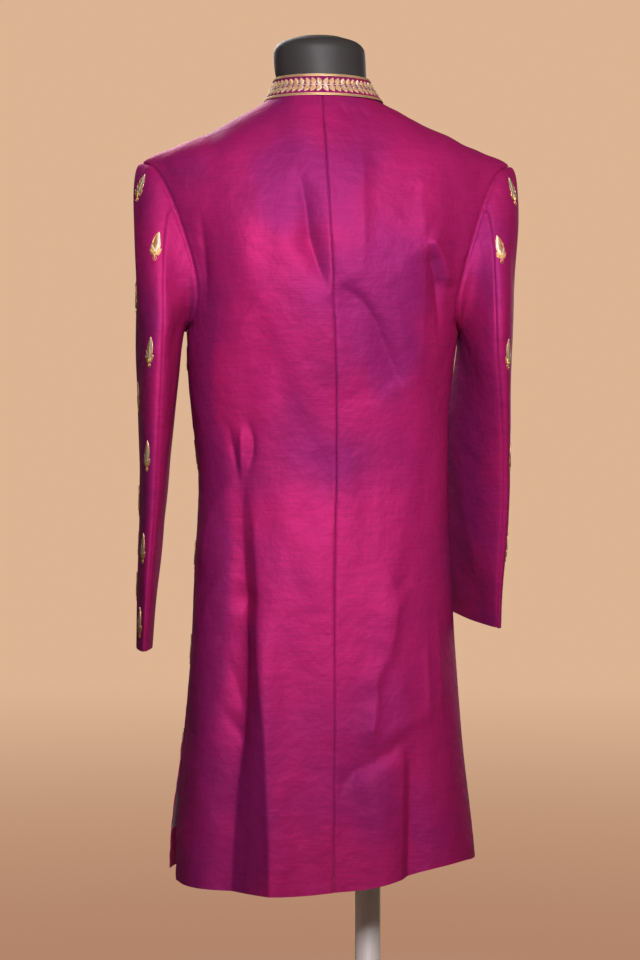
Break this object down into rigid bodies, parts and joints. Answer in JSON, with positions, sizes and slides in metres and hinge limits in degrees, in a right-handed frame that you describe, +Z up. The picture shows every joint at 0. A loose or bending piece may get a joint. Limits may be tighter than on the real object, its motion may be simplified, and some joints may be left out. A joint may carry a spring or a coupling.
{
  "type": "sherwani coat on a dress form",
  "caption": "Knee-length raw-silk coat with stand collar, set-in sleeves and side slits, worn by a limbless dress form on a pole stand.",
  "frame": {"origin": "on the floor under the middle of the coat, in the plane of the base plate's underside", "axes": "+Z up, the coat faces -Y, its wearer's left is +X"},
  "size_m": [0.5011, 0.33, 1.596],
  "materials": {
    "silk": "plain-woven raw silk with a soft directional sheen, magenta warp and purple weft",
    "gold": "antique gold, as metal thread and buttons",
    "form_black": "semi-matte moulded shell",
    "steel": "brushed tube",
    "base_black": "powder coat"
  },
  "bodies": {
    "root": {"back_left": "silk", "back_right": "silk", "front_left": "silk", "front_right": "silk", "sleeve_left_upper": "silk", "sleeve_left_under": "silk", "sleeve_right_upper": "silk", "sleeve_right_under": "silk", "collar": "silk", "button_1": "gold", "button_2": "gold", "button_3": "gold", "button_4": "gold", "button_5": "gold", "button_6": "gold", "button_7": "gold", "button_8": "gold", "form_torso": "form_black", "form_flange": "steel", "pole": "steel", "pole_socket": "steel", "base_plate": "base_black"}
  },
  "joints": []
}
